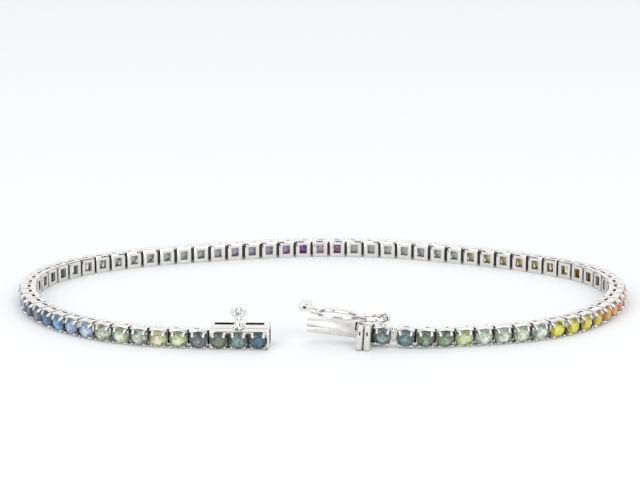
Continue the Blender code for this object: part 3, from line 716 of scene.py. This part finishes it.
def spring_tongue(plan):
    """The folded spring: a lower leaf, the fold at its tip, and an upper leaf with a catch notch."""
    root, depth = plate_sides(plan)[0], tongue_depth(plan)
    tip = root - plan.clasp.tongue
    play, root_overlap, polish = 0.05 * MM, 0.14 * MM, 0.05 * MM
    tip_trim, tip_drop = 0.18 * MM, 0.06 * MM
    slit_front, slit_long, slit_half, slit_end, slit_out = 0.10 * MM, 2.10 * MM, 0.06 * MM, 0.2, 0.05 * MM
    notch_overlap = 0.02 * MM
    high = plan.top - plan.clasp.wall - play
    leaf = block("tongue", (tip, root + root_overlap), depth, (-high, high))
    pick(leaf, facing(x=-1))
    bpy.ops.transform.resize(value=(1, 1, (high - tip_trim) / high), center_override=(tip, 0, 0))
    bpy.ops.transform.translate(value=(0, 0, -tip_drop))
    done()
    slit = block("slit", (tip - slit_front, tip + slit_long), (0, 2 * depth[1]), (-slit_half, slit_half))
    pick(slit, facing(x=1))
    bpy.ops.transform.resize(value=(1, 1, slit_end), center_override=(tip, 0, 0))
    done()
    slit.data.transform(Matrix.Translation((0, depth[0] - slit_out, 0)))
    notch = block("notch", (root - CATCH_LONG, root + notch_overlap), (0, depth[0] + CATCH_DEEP),
                  (CATCH_FLOOR, plan.link.high))
    cut(leaf, slit, notch)
    rounded(leaf, polish)
    return smooth(leaf)


def press_plate(plan):
    """Two upright half-round ribs side by side, with a small oval dimple near the top of each."""
    left, right, front, low, high = plate_sides(plan)
    radius, polish, back_cover = plan.clasp.plate / 4, 0.15 * MM, 0.25 * MM
    dimple_radius, dimple_squash = 0.26 * MM, (0.40, 0.35, 1.0)
    back = tongue_depth(plan)[1] + back_cover
    slab = block("press_plate", (left, right), (front + radius, back), (low, high))
    rounded(slab, polish, segments=4)
    ribs = []
    for n in (1, 3):
        middle = (left + n * radius, front + radius, (low + high) / 2)
        rib = rod("rib", middle, radius, high - low, "Z", sides=32)
        rounded(rib, polish, segments=4, angle=60)
        dimple = (middle[0], front, high - PLATE_DIMPLE)
        cut(rib, ball("dimple", dimple, dimple_radius, squash=dimple_squash))
        ribs.append(rib)
    return smooth(joined("press_plate", [slab, *ribs]), angle=50)


def tongue_painted_shade(plan):
    """Painted shade: dark pieces in the catch notch, the plate's groove and dimples, the eye, and the end
    gap.
    """
    left, right, front, low, high = plate_sides(plan)
    radius, depth = plan.clasp.plate / 4, tongue_depth(plan)
    play, lining = 0.01 * MM, 0.10 * MM
    notch_head = 0.07 * MM
    groove_half, groove_front, groove_end = 0.08 * MM, 0.22 * MM, 0.12 * MM
    gap_overlap, gap_root, gap_front, gap_half = 0.02 * MM, 0.10 * MM, 0.30 * MM, 0.98 * MM
    eye_inset, eye_wire = 0.12 * MM, 0.07 * MM
    dimple_radius, dimple_sink, dimple_squash = 0.28 * MM, 0.04 * MM, (0.40, 0.18, 1.0)
    middle = left + 2 * radius
    made = [
        block("painted_shade_block", (left - CATCH_LONG + play, left),
              (depth[0] + CATCH_DEEP - lining, depth[0] + CATCH_DEEP + play),
              (CATCH_FLOOR - play, plan.top - plan.clasp.wall - notch_head)),
        block("painted_shade_block", (middle - groove_half, middle + groove_half),
              (front + groove_front, front + radius), (low + groove_end, high - groove_end)),
        block("painted_shade_block", (right - gap_overlap, gap_root - plan.half), (plan.rim + gap_front, plan.lug),
              (-gap_half, gap_half)),
        ring("painted_shade_block", eye_centre(plan), plan.clasp.eye - eye_inset, eye_wire, sides=36),
    ]
    for n in (1, 3):
        dimple = (left + n * radius, front + dimple_sink, high - PLATE_DIMPLE)
        made.append(ball("painted_shade_block", dimple, dimple_radius, squash=dimple_squash))
    return joined("tongue_painted_shade", made)


def eye_centre(plan):
    """The middle of the latch's eye, above the end link."""
    return Vector((0, plan.rim + EYE_PLACE, plan.top + plan.clasp.eye + EYE_WIRE + EYE_STEM))


def bridge_and_eye(plan):
    """The bar between press plate and end link, and the latch's eye on its stem."""
    centre, right = eye_centre(plan), plate_sides(plan)[1]
    left_overlap, right_overlap, half_deep, half_high = 0.16 * MM, 0.18 * MM, 0.35 * MM, 0.45 * MM
    stem_middle, stem_long, stem_radius, stem_tip = 0.10 * MM, 0.34 * MM, 0.20 * MM, 0.14 * MM
    bar_polish, stem_polish = 0.05 * MM, 0.03 * MM
    bar = block("bridge", (right - left_overlap, right_overlap - plan.half),
                (plan.lug - half_deep, plan.lug + half_deep), (-half_high, half_high))
    rounded(bar, bar_polish)
    stem = rod("stem", (0, centre.y, plan.top + stem_middle), stem_radius, stem_long, "Z",
               sides=20, end=stem_tip)
    rounded(stem, stem_polish)
    eye = ring("eye", centre, plan.clasp.eye, EYE_WIRE, sides=36)
    return smooth(joined("eye", [bar, stem, eye]), angle=50)


def safety_latch(plan):
    """The figure-eight lever: two wire loops in line and a rolled finger lip."""
    clasp = plan.clasp
    near_long, near_wide = 3.05 * MM, 2.10 * MM
    far_long, far_wide, overlap = 4.90 * MM, 2.60 * MM, 0.30 * MM
    dip, rise = 0.14 * MM, 0.10 * MM
    bead_radius, bead_pitch, bead_place = 0.12 * MM, 0.21 * MM, 0.92 * clasp.wire
    waist = -near_long
    far_start = waist + overlap
    far = far_start - far_long

    def height(x):
        if x > waist:
            return -dip * x / waist
        return -dip + rise * (x - waist) / (far - waist)

    def loop(start, end, wide, table):
        half = [(start + (end - start) * along, wide / 2 * out) for along, out in table]
        heel = [] if table[0][0] == 0 else [(start, 0)]
        plan_ring = heel + half + [(end, 0)] + [(x, -y) for x, y in reversed(half)]
        return [Vector((x, y, height(x))) for x, y in plan_ring]

    near = loop(0, waist, near_wide, NEAR_LOOP)
    distant = loop(far_start, far, far_wide, FAR_LOOP)
    pieces = [wire("near_loop", near, clasp.wire, closed=True),
              wire("far_loop", distant, clasp.wire, closed=True)]
    bead = primitive("bead", bpy.ops.mesh.primitive_ico_sphere_add, subdivisions=2, radius=bead_radius)
    back_leg = [point for point in distant if point.y > 0]
    for a, b in zip(back_leg, back_leg[1:]):
        number = round((b - a).length / bead_pitch)
        for k in range(number):
            spot = a.lerp(b, (k + 0.5) / number) + Vector((0, 0, bead_place))
            pieces.append(copied(bead, Matrix.Translation(spot)))
    bpy.data.objects.remove(bead)
    lip, core = finger_lip(far + clasp.wire / 2, height(far))
    return smooth(joined("latch", pieces + lip), angle=50), core


def finger_lip(root, base):
    """A strip that bends up from the far loop and rolls over at its end, and a dark core in the roll's
    hole as painted shade.
    """
    long, high, wide, thick = 2.20 * MM, 1.20 * MM, 2.00 * MM, 0.20 * MM
    radius, stretch, hole, roll_polish = 0.50 * MM, 1.36, 0.15 * MM, 0.12 * MM
    strip_front, strip_overlap, strip_polish = 0.02 * MM, 0.10 * MM, 0.06 * MM
    rail_radius, rail_inset, rail_lift = 0.15 * MM, 0.14 * MM, 0.06 * MM
    core_radius, core_inset = 0.16 * MM, 0.12 * MM
    spine = [Vector((root - long * along, 0, base + high * up)) for along, up in LIP_SPINE]
    strip = block("strip", (root - strip_front, root + strip_overlap), (-wide / 2, wide / 2),
                  (base - thick / 2, base + thick / 2))
    pick(strip, facing(x=-1))
    for a, b in zip(spine, spine[1:]):
        bpy.ops.mesh.extrude_region_move(TRANSFORM_OT_translate={"value": b - a})
    done()
    rounded(strip, strip_polish, segments=3, angle=50)
    middle = (root - long + radius * stretch, 0, base + high - radius)
    roll = rod("roll", middle, radius, wide, "Y", sides=32)
    rounded(roll, roll_polish, segments=4, angle=60)
    cut(roll, rod("hollow", middle, hole, 2 * wide, "Y", sides=16))
    roll.data.transform(Matrix.Translation((middle[0] * (1 - stretch), 0, 0))
                        @ Matrix.Diagonal((stretch, 1, 1, 1)))
    rails = []
    for side in (-1, 1):
        path = [point + Vector((0, side * (wide / 2 - rail_inset), rail_lift)) for point in spine]
        rails.append(wire("rail", path, rail_radius, sides=10))
    # Painted shade: a dark rod inside the roll's hole
    core = rod("lip_painted_shade", middle, core_radius, wide - 2 * core_inset, "Y", sides=16)
    return [strip, roll, *rails], core


def node(owner, kind, settings, links=()):
    """Adds a shader node with its settings and links, by the names or numbers of its sockets."""
    made = owner.node_tree.nodes.new(kind)
    for key, value in settings.items():
        if isinstance(key, str) and hasattr(made, key):
            setattr(made, key, value)
        else:
            made.inputs[key].default_value = value
    for key, source in dict(links).items():
        owner.node_tree.links.new(source, made.inputs[key])
    return made


def new_material(name, values):
    """A material with its main shader, whose constant values are set on its own sockets."""
    made = bpy.data.materials.new(name)
    made.use_nodes = True
    shader = made.node_tree.nodes["Principled BSDF"]
    for key, value in values.items():
        shader.inputs[key].default_value = value
    return made, shader, node(made, "ShaderNodeTexCoord", {}).outputs["Object"]


def join_up(material, shader, links):
    """Links the patterns to the main shader's sockets, by their names."""
    for key, source in links.items():
        material.node_tree.links.new(source, shader.inputs[key])
    return material


def toned(base, share=1.0):
    """A colour as a socket takes it, with a share of its light."""
    return (*(share * tone for tone in base), 1)


# Rhodium-plated white gold, cast and buffed: near-mirror, with faint waves left by the buff, and
# painted shade that greys it in corners and crevices, where ambient occlusion finds them
def polished_white_gold(scene):
    bright = scene.bracelet_metal.bright
    made, shader, place = new_material("polished_white_gold", {"Metallic": 1.0})
    wave = node(made, "ShaderNodeTexNoise", {"Scale": 1 / (0.9 * MM), "Detail": 3.0}, {"Vector": place})
    grit = node(made, "ShaderNodeTexNoise", {"Scale": 1 / (0.06 * MM), "Detail": 2.0}, {"Vector": place})
    # Painted shade: where ambient occlusion is low, the colour falls towards 0.38 of itself
    open_share = node(made, "ShaderNodeAmbientOcclusion", {"samples": 8, "Distance": 0.30 * MM})
    painted_shade_mask = node(made, "ShaderNodeMapRange", {"From Min": 0.10, "From Max": 0.62},
                  {"Value": open_share.outputs["AO"]})
    wavy = node(made, "ShaderNodeMath", {"operation": "MULTIPLY_ADD", 1: 0.15, 2: 0.85},
                {0: wave.outputs["Fac"]})
    painted_shade_and_waves = node(made, "ShaderNodeMath", {"operation": "MULTIPLY"},
                {0: painted_shade_mask.outputs["Result"], 1: wavy.outputs[0]})
    tone = node(made, "ShaderNodeMix",
                {"data_type": "RGBA", COLOUR_A: toned(bright, 0.38), COLOUR_B: toned(bright)},
                {0: painted_shade_and_waves.outputs[0]})
    gloss = node(made, "ShaderNodeMapRange", {"From Min": 0.35, "From Max": 0.65, "To Min": 0.05,
                                              "To Max": 0.14}, {"Value": grit.outputs["Fac"]})
    bump = node(made, "ShaderNodeBump", {"Strength": 0.25, "Distance": 0.004 * MM},
                {"Height": wave.outputs["Fac"]})
    return join_up(made, shader, {"Base Color": tone.outputs[COLOUR_OUT],
                                  "Roughness": gloss.outputs["Result"],
                                  "Normal": bump.outputs["Normal"]})


# White gold spring strip, rolled and brushed along its length: a grey satin with fine lines, which
# are drawn 0.05 mm apart, coarser than real ones, so that they show
def satin_white_gold(scene):
    satin = scene.bracelet_metal.satin
    made, shader, place = new_material("satin_white_gold", {"Metallic": 1.0})
    along = node(made, "ShaderNodeMapping", {"Scale": (0.06, 1, 1)}, {"Vector": place})
    lines = node(made, "ShaderNodeTexNoise", {"Scale": 1 / (0.05 * MM), "Detail": 3.0},
                 {"Vector": along.outputs["Vector"]})
    cloud = node(made, "ShaderNodeTexNoise", {"Scale": 1 / (0.7 * MM), "Detail": 3.0}, {"Vector": place})
    tone = node(made, "ShaderNodeMix",
                {"data_type": "RGBA", COLOUR_A: toned(satin, 0.78), COLOUR_B: toned(satin)},
                {0: cloud.outputs["Fac"]})
    gloss = node(made, "ShaderNodeMapRange", {"From Min": 0.35, "From Max": 0.65, "To Min": 0.26,
                                              "To Max": 0.44}, {"Value": lines.outputs["Fac"]})
    bump = node(made, "ShaderNodeBump", {"Strength": 0.35, "Distance": 0.006 * MM},
                {"Height": lines.outputs["Fac"]})
    return join_up(made, shader, {"Base Color": tone.outputs[COLOUR_OUT],
                                  "Roughness": gloss.outputs["Result"],
                                  "Normal": bump.outputs["Normal"]})


# Cut and polished sapphire: half-clear coloured glass to the eye, with faint zones in its colour
def cut_sapphire(scene):
    made, shader, place = new_material("cut_sapphire", {"IOR": 1.77, "Transmission Weight": 0.48})
    # The stone_colour attribute brings the stone's colour with painted light and shade on its facets
    shade = node(made, "ShaderNodeAttribute", {"attribute_name": "stone_colour"})
    zones = node(made, "ShaderNodeTexNoise", {"Scale": 1 / (1.1 * MM), "Detail": 1.0}, {"Vector": place})
    depth = node(made, "ShaderNodeMapRange", {"From Min": 0.3, "From Max": 0.6, "To Min": 0.75,
                                              "To Max": 1.0}, {"Value": zones.outputs["Fac"]})
    tint = node(made, "ShaderNodeMix", {"data_type": "RGBA", "blend_type": "MULTIPLY", 0: 1.0},
                {COLOUR_A: shade.outputs["Color"], COLOUR_B: depth.outputs["Result"]})
    clear = node(made, "ShaderNodeGamma", {"Gamma": 0.74}, {"Color": tint.outputs[COLOUR_OUT]})
    gloss = node(made, "ShaderNodeMapRange", {"To Min": 0.01, "To Max": 0.05},
                 {"Value": zones.outputs["Fac"]})
    return join_up(made, shader, {"Base Color": clear.outputs["Color"],
                                  "Roughness": gloss.outputs["Result"]})


# Painted shade: white gold in slots, recesses and gaps, a dull dark grey that stands for the shade there
def white_gold_painted_shade(scene):
    shade = scene.bracelet_metal.shade
    made, shader, place = new_material("white_gold_painted_shade", {"Metallic": 0.6})
    cloud = node(made, "ShaderNodeTexNoise", {"Scale": 1 / (0.3 * MM), "Detail": 3.0}, {"Vector": place})
    tone = node(made, "ShaderNodeMix",
                {"data_type": "RGBA", COLOUR_A: toned(shade, 0.5), COLOUR_B: toned(shade)},
                {0: cloud.outputs["Fac"]})
    gloss = node(made, "ShaderNodeMapRange", {"To Min": 0.45, "To Max": 0.70},
                 {"Value": cloud.outputs["Fac"]})
    return join_up(made, shader, {"Base Color": tone.outputs[COLOUR_OUT],
                                  "Roughness": gloss.outputs["Result"]})


# Matt white studio paper: pale and even, with the least trace of fibre, drawn coarser than real
def studio_paper(scene):
    pale = scene.bracelet_stage.floor
    made, shader, place = new_material("studio_paper", {"Roughness": 0.7})
    fibre = node(made, "ShaderNodeTexNoise", {"Scale": 1 / (0.5 * MM), "Detail": 2.0}, {"Vector": place})
    tone = node(made, "ShaderNodeMix",
                {"data_type": "RGBA", COLOUR_A: toned(pale, 0.985), COLOUR_B: toned(pale)},
                {0: fibre.outputs["Fac"]})
    return join_up(made, shader, {"Base Color": tone.outputs[COLOUR_OUT]})


# The materials by the keys that the pieces use
MATERIALS = {"gold": polished_white_gold, "satin": satin_white_gold, "sapphire": cut_sapphire,
             "shade": white_gold_painted_shade, "paper": studio_paper}


def shared_material(scene, key):
    """Each material is made once and shared."""
    found = bpy.data.materials.get(scene.get("bracelet_" + key, ""))
    if found is None:
        found = MATERIALS[key](scene)
        scene["bracelet_" + key] = found.name
    return found


def dressed(piece, scene, key, body="bracelet", nodes=()):
    """Gives a piece its material and its body, and hides the CAD nodes that it stands for."""
    piece.data.materials.clear()
    piece.data.materials.append(shared_material(scene, key))
    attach(piece, body)
    if nodes:
        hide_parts(*nodes)
    return piece


def hinge_place(plan, k):
    """The place of the hinge between two neighbouring seats."""
    x = (plan.seats[k - 1].col[0].xyz + plan.seats[k].col[0].xyz).normalized()
    y = Vector((0, 0, 1)).cross(x).normalized()
    z = x.cross(y)
    place = Matrix((x, y, z)).transposed().to_4x4()
    place.translation = plan.hinge_points[k] + z * plan.top
    return place


class BRACELET_OT_lines(bpy.types.Operator):
    """Builds the claw settings of both lines, and the hinges between them"""

    bl_idname = "bracelet.lines"
    bl_label = "Lines of links"

    def execute(self, context):
        scene, plan = context.scene, Plan(context.scene)
        setting, hinge = link_setting(plan), lug(plan)
        meet, last = 1 + plan.link.right, plan.stones - plan.link.box
        for side, first, end in (("right", 1, meet), ("left", meet, last)):
            row = strung(side + "_settings", setting, plan.seats[first:end])
            dressed(row, scene, "gold", nodes=[side + "_line"])
            places = [hinge_place(plan, k) for k in range(first, end)]
            if side == "right":
                shift = plan.clasp.shift
                stretch = Matrix.Diagonal(((plan.link.gap + shift) / plan.link.gap, 1, 1, 1))
                first_place = places.pop(0) @ Matrix.Translation((-shift / 2, 0, 0)) @ stretch
                dressed(strung("first_hinge", hinge, [first_place]), scene, "gold")
            else:
                places.append(hinge_place(plan, end))
            # The hinges in the gaps between settings take the dark colour of painted shade
            dressed(strung(side + "_hinges", hinge, places), scene, "shade")
        bpy.data.objects.remove(setting)
        bpy.data.objects.remove(hinge)
        return {"FINISHED"}


class BRACELET_OT_stones(bpy.types.Operator):
    """Cuts one brilliant and seats its copies, each in its own colour"""

    bl_idname = "bracelet.stones"
    bl_label = "Stones"

    def execute(self, context):
        scene, plan = context.scene, Plan(context.scene)
        stone = brilliant(plan)
        meet, last = 2 + plan.link.right, plan.stones - plan.link.box + 1
        groups = {"end_brilliant": (1, 2), "right_brilliants": (2, meet),
                  "left_brilliants": (meet, last), "box_brilliants": (last, plan.stones + 1)}
        stands_for = {"end_brilliant": ["end_stone"],
                      "box_brilliants": ["box_stone_%d" % (n + 1) for n in range(plan.link.box)]}
        for name, (first, end) in groups.items():
            row = seated_stones(name, plan, stone, range(first, end))
            dressed(row, scene, "sapphire", nodes=stands_for.get(name, ()))
        bpy.data.objects.remove(stone)
        return {"FINISHED"}


class BRACELET_OT_clasp_box(bpy.types.Operator):
    """Builds the clasp box with its seats, slots, mouth and safety post"""

    bl_idname = "bracelet.clasp_box"
    bl_label = "Clasp box"

    def execute(self, context):
        scene, plan = context.scene, Plan(context.scene)
        box, post, painted_shade_pieces = clasp_box(plan), safety_post(plan), box_painted_shade(plan)
        for piece in (box, post, painted_shade_pieces):
            piece.data.transform(plan.box)
        # Painted shade: dark pieces in the box's notches, grooves and dimple
        dressed(painted_shade_pieces, scene, "shade")
        dressed(box, scene, "gold", nodes=["clasp_box"])
        dressed(post, scene, "gold")
        return {"FINISHED"}


class BRACELET_OT_tongue(bpy.types.Operator):
    """Builds the spring tongue, the press plate, the end setting and the latch's eye"""

    bl_idname = "bracelet.tongue"
    bl_label = "Tongue and press plate"

    def execute(self, context):
        scene, plan = context.scene, Plan(context.scene)
        spring, plate = spring_tongue(plan), press_plate(plan)
        eye, setting = bridge_and_eye(plan), link_setting(plan)
        painted_shade_pieces = tongue_painted_shade(plan)
        for piece in (spring, plate, eye, setting, painted_shade_pieces):
            piece.data.transform(plan.seats[0])
        # Painted shade: dark pieces in the tongue's notch, the plate's groove and dimples, the eye and
        # the end gap
        dressed(painted_shade_pieces, scene, "shade")
        setting.name = setting.data.name = "end_setting"
        dressed(spring, scene, "satin", nodes=["clasp_tongue"])
        for piece in (plate, eye, setting):
            dressed(piece, scene, "gold")
        return {"FINISHED"}


class BRACELET_OT_latch(bpy.types.Operator):
    """Builds the figure-eight safety latch, which turns in the eye"""

    bl_idname = "bracelet.latch"
    bl_label = "Safety latch"

    def execute(self, context):
        scene, plan = context.scene, Plan(context.scene)
        latch, core = safety_latch(plan)
        for piece in (latch, core):
            piece.data.transform(plan.seats[0] @ Matrix.Translation(eye_centre(plan)))
        dressed(latch, scene, "gold", "latch", ["safety_latch"])
        # The lip's core is painted shade, riding with the latch
        dressed(core, scene, "shade", "latch")
        return {"FINISHED"}


def soft_room(world, sky, values):
    """A pale room with dark boards and a bright backdrop for metal and facets to mirror."""
    place = node(world, "ShaderNodeTexCoord", {}).outputs["Generated"]
    under = {}
    for aim, start, end, light in BOARDS:
        near = node(world, "ShaderNodeVectorMath", {"operation": "DOT_PRODUCT", 1: aim}, {0: place})
        share = node(world, "ShaderNodeMapRange", {"interpolation_type": "SMOOTHSTEP", "From Min": start,
                                                   "From Max": end}, {"Value": near.outputs["Value"]})
        mixed = node(world, "ShaderNodeMix", {"data_type": "RGBA", COLOUR_A: toned(values.sky),
                                              COLOUR_B: toned(values.sky, light)},
                     {0: share.outputs["Result"], **under})
        under = {COLOUR_A: mixed.outputs[COLOUR_OUT]}
    world.node_tree.links.new(under[COLOUR_A], sky.inputs["Color"])


class BRACELET_OT_stage(bpy.types.Operator):
    """Lays the pale floor, hangs the soft lights and sets the camera"""

    bl_idname = "bracelet.stage"
    bl_label = "Stage"

    def execute(self, context):
        scene = context.scene
        values = scene.bracelet_stage
        floor = primitive("floor", bpy.ops.mesh.primitive_plane_add, size=FLOOR_WIDE)
        floor.data.materials.append(shared_material(scene, "paper"))
        world = bpy.data.worlds.new("soft_room")
        scene.world = world
        scene.view_settings.view_transform = "Standard"
        world.use_nodes = True
        sky = world.node_tree.nodes["Background"]
        sky.inputs["Color"].default_value = toned(values.sky)
        sky.inputs["Strength"].default_value = values.sky_power
        soft_room(world, sky, values)
        for name, place, size, power in LAMPS:
            bpy.ops.object.light_add(type="AREA", location=place)
            lamp = bpy.context.active_object
            lamp.name = name
            lamp.data.size = size
            lamp.data.energy = power * values.lamp_power
            lamp.rotation_euler = Vector(place).to_track_quat("Z", "Y").to_euler()
        bpy.ops.object.camera_add(location=values.eye, rotation=(math.pi / 2 - values.tilt, 0, 0))
        camera = bpy.context.active_object
        camera.data.lens = values.lens
        camera.data.clip_start, camera.data.clip_end = 0.01, 10
        scene.camera = camera
        return {"FINISHED"}


class BRACELET_PT_panel(bpy.types.Panel):
    """Sizes, colours and the steps that build the bracelet"""

    bl_idname = "BRACELET_PT_panel"
    bl_label = "Tennis bracelet"
    bl_space_type = "VIEW_3D"
    bl_region_type = "UI"
    bl_category = "Bracelet"

    def draw(self, context):
        for step in STEPS:
            self.layout.operator(step.bl_idname)
        for key in GROUPS:
            values = getattr(context.scene, key)
            box = self.layout.box()
            for name in values.bl_rna.properties.keys():
                if name not in ("name", "rna_type"):
                    box.prop(values, name)


# The steps in their order, and the groups of values by their names in the scene
STEPS = [BRACELET_OT_lines, BRACELET_OT_stones, BRACELET_OT_clasp_box, BRACELET_OT_tongue,
         BRACELET_OT_latch, BRACELET_OT_stage]
GROUPS = {"bracelet_link": LinkSizes, "bracelet_clasp": ClaspSizes, "bracelet_metal": MetalColours,
          "bracelet_stage": StageValues}


def register():
    for made in (*GROUPS.values(), *STEPS, BRACELET_PT_panel):
        bpy.utils.register_class(made)
    for key, group in GROUPS.items():
        setattr(bpy.types.Scene, key, bpy.props.PointerProperty(type=group))


def unregister():
    for key in GROUPS:
        delattr(bpy.types.Scene, key)
    for made in reversed((*GROUPS.values(), *STEPS, BRACELET_PT_panel)):
        bpy.utils.unregister_class(made)


def main():
    register()
    bpy.ops.bracelet.lines()
    bpy.ops.bracelet.stones()
    bpy.ops.bracelet.clasp_box()
    bpy.ops.bracelet.tongue()
    bpy.ops.bracelet.latch()
    bpy.ops.bracelet.stage()


if __name__ == "__main__":
    main()
